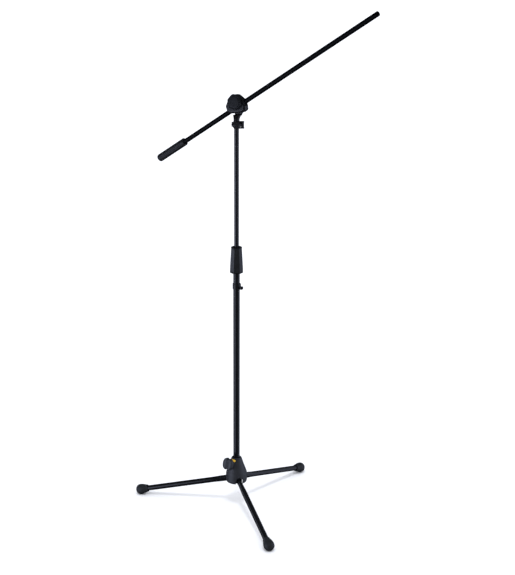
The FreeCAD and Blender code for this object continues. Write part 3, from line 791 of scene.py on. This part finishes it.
# ---- pole fittings ----
def hexagon_ring(flat, corner, first_flat, z):
    """A level ring in the shape of a hexagon with rounded corners."""
    outline = rounded(polygon(6, flat, math.radians(first_flat)), corner, 8)
    return [Vector((p.x, p.y, z)) for p in outline]


def bore_ring(ring, radius):
    """The same level ring drawn in to a circle."""
    return [Vector((p.x * radius / p.xy.length, p.y * radius / p.xy.length, p.z)) for p in ring]


def clutch_sleeve(materials):
    """The tapered grip: a hexagon with full corners, waisted towards its top."""
    low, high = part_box("clutch_sleeve")
    z0 = low.z / MM
    z1 = high.z / MM
    height = z1 - z0
    sections = [(0.0, 19.2, 7.0), (0.8, 19.8, 7.0), (2.5, 19.9, 7.0), (14.0, 19.6, 7.0),
                (30.0, 19.0, 7.5), (45.0, 18.35, 8.0), (60.0, 17.6, 8.3), (75.0, 16.95, 8.5),
                (height - 2.0, 16.65, 9.0), (height - 0.7, 16.55, 9.0), (height, 16.0, 9.0)]
    rings = []
    for dz, flat, corner in sections:
        rings.append(hexagon_ring(flat, corner, SLEEVE_FIRST_FLAT, z0 + dz))
    mouth = bore_ring(rings[0], 11.6)
    mesh = bmesh.new()
    add_rings(mesh, [mouth] + rings + [bore_ring(rings[-1], 8.4), mouth], False, False)
    return finish_mesh("clutch_grip", mesh, pole_frame(), "clutch",
                       materials["sleeve"], ["clutch_sleeve"], 45)


def clutch_plates(materials):
    """The hexagonal plates that close the grip's ends."""
    for name, node, flat, corner, bore in (
            ("clutch_foot_plate", "clutch_bottom_ring", 20.0, 6.0, LOWER_R + 0.3),
            ("clutch_head_plate", "clutch_top_ring", 17.0, 7.0, UPPER_R + 0.3)):
        low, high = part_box(node)
        z0 = low.z / MM
        z1 = high.z / MM
        rings = []
        for drop, shrink in ((0.0, 0.45), (0.12, 0.15), (0.4, 0.0)):
            rings.append(hexagon_ring(flat - shrink, corner, SLEEVE_FIRST_FLAT, z0 + drop))
        rings += [[Vector((p.x, p.y, z0 + z1 - p.z)) for p in ring] for ring in reversed(rings)]
        mouth = bore_ring(rings[0], bore)
        mesh = bmesh.new()
        add_rings(mesh, [mouth] + rings + [bore_ring(rings[-1], bore), mouth], False, False)
        finish_mesh(name, mesh, pole_frame(), "clutch", materials["dark"], [node], 40)


def tube(name, node, matrix, radius, start, end, body, material):
    """A drawn tube with slightly broken edges."""
    inner = radius - TUBE_WALL
    edge = TUBE_EDGE
    profile = [(inner, start), (inner, end), (radius - edge, end), (radius, end - edge)]
    count = 12
    profile += [(radius, end - edge - (end - start - 2 * edge) * k / count) for k in range(1, count)]
    profile += [(radius, start + edge), (radius - edge, start)]
    mesh = bmesh.new()
    add_lathe(mesh, profile, 128, True)
    return finish_mesh(name, mesh, matrix, body, material, [node], 40)


def pole_tubes(materials):
    for node, radius, body, look in (("lower_tube", LOWER_R, "pole", "gloss_tube"),
                                     ("upper_tube", UPPER_R, "upper_pole", "satin_tube")):
        low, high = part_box(node)
        tube(f"{node}_drawn", node, pole_frame(), radius, low.z / MM, high.z / MM, body,
             materials[look])


# ---- head ----
def hand_knob(materials):
    """A rounded hexagonal hand knob with a raised centre plate."""
    handle = [(9.5, 4.0, 14.5), (21.0, 10.0, 14.6), (22.6, 11.0, 15.2), (23.6, 11.5, 16.4),
              (24.0, 11.5, 18.0), (23.9, 11.5, 21.0), (23.5, 11.5, 23.0), (22.7, 11.0, 24.6),
              (21.6, 10.5, 25.4), (20.6, 10.0, 25.5), (19.3, 9.4, 25.1), (18.9, 9.2, 24.6)]
    plate = [(18.5, 9.0, 24.2), (18.5, 9.0, 25.3), (18.2, 8.9, 25.7), (17.6, 8.6, 25.8),
             (10.0, 4.8, 25.8), (2.0, 0.9, 25.8)]
    place = facing_front(tilt_frame())
    for name, node, levels in (("hand_knob", "clamp_knob", handle),
                               ("hand_knob_plate", "knob_cap", plate)):
        rings = []
        for flat, corner, z in levels:
            ring = hexagon_ring(flat, corner, HAND_KNOB_FIRST_FLAT, z)
            rings.append([Vector((p.x, -p.y, z)) for p in ring])
        mesh = bmesh.new()
        add_rings(mesh, rings)
        finish_mesh(name, mesh, place, "knob", materials["knob"], [node], 50)


def slim_lobe(piece):
    """Draw a clamp half in under the boom's front side, where the casting is slimmer."""
    place = boom_frame()
    back = place.inverted()
    for vertex in piece.data.vertices:
        point = back @ vertex.co
        under = min(1.0, max(0.0, -point.z / LOBE_BLEND))
        if point.x > LOBE_START:
            point.x = LOBE_START + (point.x - LOBE_START) * (1 - LOBE_TRIM * under)
            vertex.co = place @ point


def softened_castings(materials):
    """The complex castings and mouldings, with soft edges."""
    for node, voxel, passes, body, slot, look in (
            ("boom_clamp_front", 0.55, 5, "boom_clamp", "cast_head", "cast"),
            ("boom_clamp_rear", 0.55, 3, "boom_clamp", "cast_head", "cast"),
            ("head_stem", 0.55, 4, "head", "cast_head", "cast"),
            ("swivel_collar", 0.4, 3, "upper_pole", "ring_plastic", "collar"),
            ("collar_lever", 0.4, 3, "lever", "ring_plastic", "collar"),
            ("cable_clip", 0.35, 3, "cable_clip", "ring_plastic", "dark"),
            ("pole_stopper", 0.5, 2, "pole", "ring_plastic", "dark"),
            ("leg_knuckle_1", 0.45, 3, "leg_1", "ring_plastic", "dark"),
            ("leg_knuckle_2", 0.45, 3, "leg_2", "ring_plastic", "dark"),
            ("leg_knuckle_3", 0.45, 3, "leg_3", "ring_plastic", "dark")):
        piece = softened_copy(f"{node}_moulded", node, voxel, passes, body, materials[look])
        if body == "boom_clamp":
            slim_lobe(piece)


# ---- boom ----
def boom_pieces(materials):
    """The tube, the fluted grip with its cap, and the threaded tip."""
    place = along_x(boom_frame())
    rear, front = boom_ends()
    tip_root = front - TIP_LENGTH
    tube("boom_tube_drawn", "boom_tube", place, BOOM_R, rear + GRIP_CAP, tip_root, "boom",
         materials["boom_tube"])
    boom_grip(place, rear, materials)
    boom_tip(place, tip_root, materials)


def boom_ends():
    """The boom's rear and front ends, in millimetres from the foot of the tilt axis."""
    thread = Vector(mounts["boom_thread"]["pos_m"])
    x = Vector(mounts["boom_thread"]["axis"]).normalized()
    pivot = hinge_origin("boom_tilt")
    front = (thread - pivot).dot(x) / MM + THREAD_MOUNT_DEPTH
    lowest_x = (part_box("handle_end_cap")[0].x - pivot.x) / MM
    drop = abs((pivot - thread).dot(x.cross(Vector((0, 1, 0)))) / MM)
    rear = (lowest_x - drop * x.z + (GRIP_R - 3.0) * x.z) / x.x
    return rear, front


def boom_grip(place, rear, materials):
    """A fluted grip between two plain collars, and the cap on its end."""
    segments = 144
    start = rear + GRIP_CAP
    end = start + GRIP_LENGTH
    flute_start = start + GRIP_COLLAR
    flute_end = end - GRIP_COLLAR

    def ring(radius, z, depth):
        points = []
        for i in range(segments):
            a = TURN * i / segments
            wave = max(0.0, math.cos(FLUTES * a)) ** 1.5
            r = radius - depth * wave
            points.append(Vector((r * math.cos(a), r * math.sin(a), z)))
        return points

    rings = [ring(BOOM_R, start, 0), ring(GRIP_R - 1.2, start, 0), ring(GRIP_R - 0.5, start + 0.5, 0),
             ring(GRIP_R, start + 2.0, 0), ring(GRIP_R, flute_start - 2.0, 0)]
    for share in (0.0, 0.3, 0.7, 1.0):
        rings.append(ring(GRIP_R, flute_start - 1.5 + 3.0 * share, FLUTE_DEPTH * share))
    count = 8
    for k in range(1, count):
        z = flute_start + 1.5 + (flute_end - flute_start - 3.0) * k / count
        rings.append(ring(GRIP_R, z, FLUTE_DEPTH))
    for share in (1.0, 0.7, 0.3, 0.0):
        rings.append(ring(GRIP_R, flute_end + 1.5 - 3.0 * share, FLUTE_DEPTH * share))
    rings += [ring(GRIP_R, flute_end + 2.0, 0), ring(GRIP_R, end - 1.2, 0),
              ring(GRIP_R - 0.5, end - 0.3, 0), ring(GRIP_R - 1.2, end, 0), ring(BOOM_R, end, 0),
              ring(BOOM_R, start, 0)]
    mesh = bmesh.new()
    add_rings(mesh, rings, False, False)
    finish_mesh("boom_grip", mesh, place, "boom", materials["grip"], ["boom_handle"], 50)
    cap = [(0.6, rear), (GRIP_R - 3.4, rear), (GRIP_R - 2.3, rear + 0.3), (GRIP_R - 1.5, rear + 0.9),
           (GRIP_R - 1.2, start)]
    mesh = bmesh.new()
    add_lathe(mesh, cap)
    finish_mesh("boom_grip_cap", mesh, place, "boom", materials["dark"],
                ["handle_end_cap"], 50)


def boom_tip(place, root, materials):
    """A stud with a fine thread and a relief groove at its root."""
    groove = THREAD_R - 0.9
    valley = THREAD_R - 0.5
    crest = THREAD_R - 0.03
    profile = [(BOOM_R - TUBE_WALL, root - 6), (BOOM_R - TUBE_WALL, root), (groove, root),
               (groove, root + 1.4)]
    turns = 13
    start = root + 1.6
    for k in range(turns):
        z = start + k * THREAD_PITCH
        profile += [(valley, z), (crest, z + 0.4 * THREAD_PITCH), (crest, z + 0.6 * THREAD_PITCH)]
    end = root + TIP_LENGTH
    profile += [(valley, start + turns * THREAD_PITCH), (THREAD_R - 0.7, end - 0.5),
                (THREAD_R - 1.1, end), (0.6, end)]
    mesh = bmesh.new()
    add_lathe(mesh, profile)
    finish_mesh("boom_tip", mesh, place, "boom", materials["black_steel"],
                ["boom_thread_tip"], 25)


# ---- stage ----
def floor_material():
    material = bpy.data.materials.new("studio_floor")
    material.use_nodes = True
    shader = material.node_tree.nodes["Principled BSDF"]
    shader.inputs["Base Color"].default_value = FLOOR_COLOUR
    shader.inputs["Roughness"].default_value = 0.9
    shader.inputs["Specular IOR Level"].default_value = 0.0
    return material


def make_floor():
    size = FLOOR_SIZE
    mesh = bpy.data.meshes.new("studio_floor")
    corners = [(-size, -size, 0), (size, -size, 0), (size, size, 0), (-size, size, 0)]
    mesh.from_pydata(corners, [], [(0, 1, 2, 3)])
    mesh.materials.append(floor_material())
    floor = bpy.data.objects.new("studio_floor", mesh)
    bpy.context.scene.collection.objects.link(floor)
    floor.location.z = cad_low.z - FLAT_HEIGHT
    floor.visible_glossy = False


def make_world():
    """White to the camera, an even fill for matt surfaces, and dim in reflections."""
    world = bpy.data.worlds.new("studio")
    world.use_nodes = True
    nodes = world.node_tree.nodes
    links = world.node_tree.links
    background = nodes["Background"]
    path = nodes.new("ShaderNodeLightPath")
    glossy = nodes.new("ShaderNodeMapRange")
    glossy.inputs["To Min"].default_value = FILL_STRENGTH
    glossy.inputs["To Max"].default_value = REFLECTED_STRENGTH
    links.new(path.outputs["Is Glossy Ray"], glossy.inputs["Value"])
    camera = nodes.new("ShaderNodeMapRange")
    camera.inputs["To Max"].default_value = BACKDROP_STRENGTH
    links.new(path.outputs["Is Camera Ray"], camera.inputs["Value"])
    links.new(glossy.outputs["Result"], camera.inputs["To Min"])
    links.new(camera.outputs["Result"], background.inputs["Strength"])
    background.inputs["Color"].default_value = (1, 1, 1, 1)
    bpy.context.scene.world = world


def towards(side, distance, height):
    """A place round the pole; side is in degrees right of the camera as seen from the pole."""
    azimuth = math.radians(VIEW_AZIMUTH)
    front = Vector((math.sin(azimuth), -math.cos(azimuth), 0))
    right = Vector((math.cos(azimuth), math.sin(azimuth), 0))
    angle = math.radians(side)
    return (front * math.cos(angle) + right * math.sin(angle)) * distance + Vector((0, 0, height))


def reflector(name, side, low, high, width, radiance):
    """A bright upright card facing the pole, sizes in metres, seen only in reflections."""
    material = bpy.data.materials.new(name)
    material.use_nodes = True
    material.cycles.emission_sampling = "NONE"
    nodes = material.node_tree.nodes
    nodes.remove(nodes["Principled BSDF"])
    emission = nodes.new("ShaderNodeEmission")
    emission.inputs["Color"].default_value = CARD_COLOUR
    emission.inputs["Strength"].default_value = radiance
    surface = nodes["Material Output"].inputs["Surface"]
    material.node_tree.links.new(emission.outputs["Emission"], surface)
    centre = towards(side, CARD_DISTANCE, 0)
    across = Vector((-centre.y, centre.x, 0)).normalized() * width / 2
    corners = [centre - across, centre + across]
    points = [c + Vector((0, 0, z)) for z in (low, high) for c in corners]
    mesh = bpy.data.meshes.new(name)
    mesh.from_pydata(points, [], [(0, 1, 3, 2)])
    mesh.materials.append(material)
    card = bpy.data.objects.new(name, mesh)
    bpy.context.scene.collection.objects.link(card)
    card.visible_camera = False
    card.visible_diffuse = False
    card.visible_shadow = False
    card.visible_transmission = False


def make_lights():
    reflector("left_low_card", -63, -1.7, 0.3, 2.3, 1.5)
    reflector("left_high_card", -63, 0.35, 1.0, 2.3, 3.0)
    reflector("back_left_card", -120, 0.1, 1.1, 2.2, 0.9)
    reflector("right_low_card", 86, -1.7, 0.3, 2.4, 0.66)
    reflector("right_high_card", 86, 0.3, 1.6, 2.4, 1.3)
    reflector("back_right_card", 130, -1.7, 1.6, 1.7, 0.33)
    sun = bpy.data.lights.new("overhead", "SUN")
    sun.energy = SUN_STRENGTH
    sun.angle = math.radians(SUN_SPREAD)
    lamp = bpy.data.objects.new("overhead", sun)
    to_sun = towards(SUN_SIDE, math.tan(math.radians(SUN_TILT)), 1)
    lamp.rotation_euler = to_sun.to_track_quat("Z", "Y").to_euler()
    lamp.visible_glossy = False
    bpy.context.scene.collection.objects.link(lamp)


def make_camera():
    data = bpy.data.cameras.new("camera")
    data.lens = LENS
    data.shift_x = CAMERA_SHIFT
    data.clip_end = 200
    camera = bpy.data.objects.new("camera", data)
    camera.location = towards(0, CAMERA_REACH, CAMERA_HEIGHT)
    camera.rotation_euler = (math.radians(90 - VIEW_DROP), 0, math.radians(VIEW_AZIMUTH))
    bpy.context.scene.collection.objects.link(camera)
    bpy.context.scene.camera = camera


def build():
    materials = make_materials()
    paint_cad_nodes(materials)
    hub_shell(materials)
    hub_boss(materials)
    hub_cheeks(materials)
    lock_knob(materials)
    for number in (1, 2, 3):
        leg_tube(number, materials)
        rubber_foot(number, materials)
    hub_shoe(materials)
    clutch_sleeve(materials)
    clutch_plates(materials)
    pole_tubes(materials)
    hand_knob(materials)
    softened_castings(materials)
    boom_pieces(materials)
    make_floor()
    make_world()
    make_lights()
    make_camera()
    bpy.context.scene.view_settings.view_transform = "Standard"


build()
